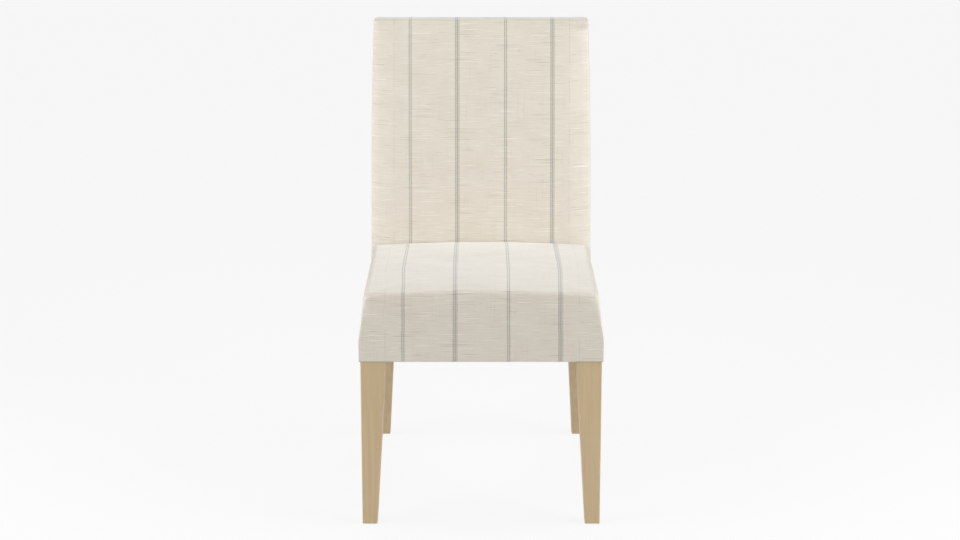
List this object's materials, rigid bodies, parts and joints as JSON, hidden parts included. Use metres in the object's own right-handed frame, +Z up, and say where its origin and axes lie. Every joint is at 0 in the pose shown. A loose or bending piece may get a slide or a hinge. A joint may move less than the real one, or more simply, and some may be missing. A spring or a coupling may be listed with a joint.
{
  "type": "parsons chair",
  "caption": "Upholstered parsons dining chair with a high leaning back, crowned seat, striped cream linen cover and square tapered pale wooden legs.",
  "frame": {"origin": "centre of the bounding box on the floor, under the middle of the chair", "axes": "+Z up, -Y the way a sitter faces, X = 0 the chair's plane of symmetry"},
  "size_m": [0.4834, 0.6058, 0.965],
  "materials": {
    "leg_wood": "pale hardwood, thin satin lacquer, fine upright grain",
    "frame_wood": "planed hardwood, unfinished",
    "plated_steel": "zinc plated",
    "webbing": "woven jute strap",
    "lining_cloth": "plain woven cotton",
    "foam": "soft open-cell foam",
    "wadding": "white polyester wadding",
    "striped_linen": "cream slub linen with four thin grey-blue stripes",
    "board": "grey-brown upholstery board",
    "dust_cloth": "black spun-bonded cloth"
  },
  "bodies": {
    "root": {"front_leg_left": "leg_wood", "front_leg_right": "leg_wood", "back_post_left": "leg_wood", "back_post_right": "leg_wood", "front_rail": "frame_wood", "rear_rail": "frame_wood", "side_rail_left": "frame_wood", "side_rail_right": "frame_wood", "lower_back_rail": "frame_wood", "crest_rail": "frame_wood", "corner_block_front_left": "frame_wood", "corner_block_front_right": "frame_wood", "corner_block_rear_left": "frame_wood", "corner_block_rear_right": "frame_wood", "leg_hanger_bolts": "plated_steel", "leg_bolt_washers": "plated_steel", "leg_bolt_nuts": "plated_steel", "foot_glides": "plated_steel", "seat_webbing_lengthwise": "webbing", "seat_webbing_crosswise": "webbing", "seat_deck_cloth": "lining_cloth", "back_webbing_upright": "webbing", "back_webbing_crosswise": "webbing", "back_lining_cloth": "lining_cloth", "seat_foam": "foam", "seat_wadding": "wadding", "seat_cover": "striped_linen", "back_foam": "foam", "back_wadding": "wadding", "back_cover": "striped_linen", "outside_back_lining": "board", "outside_back_panel": "striped_linen", "dust_cover": "dust_cloth"}
  },
  "joints": []
}
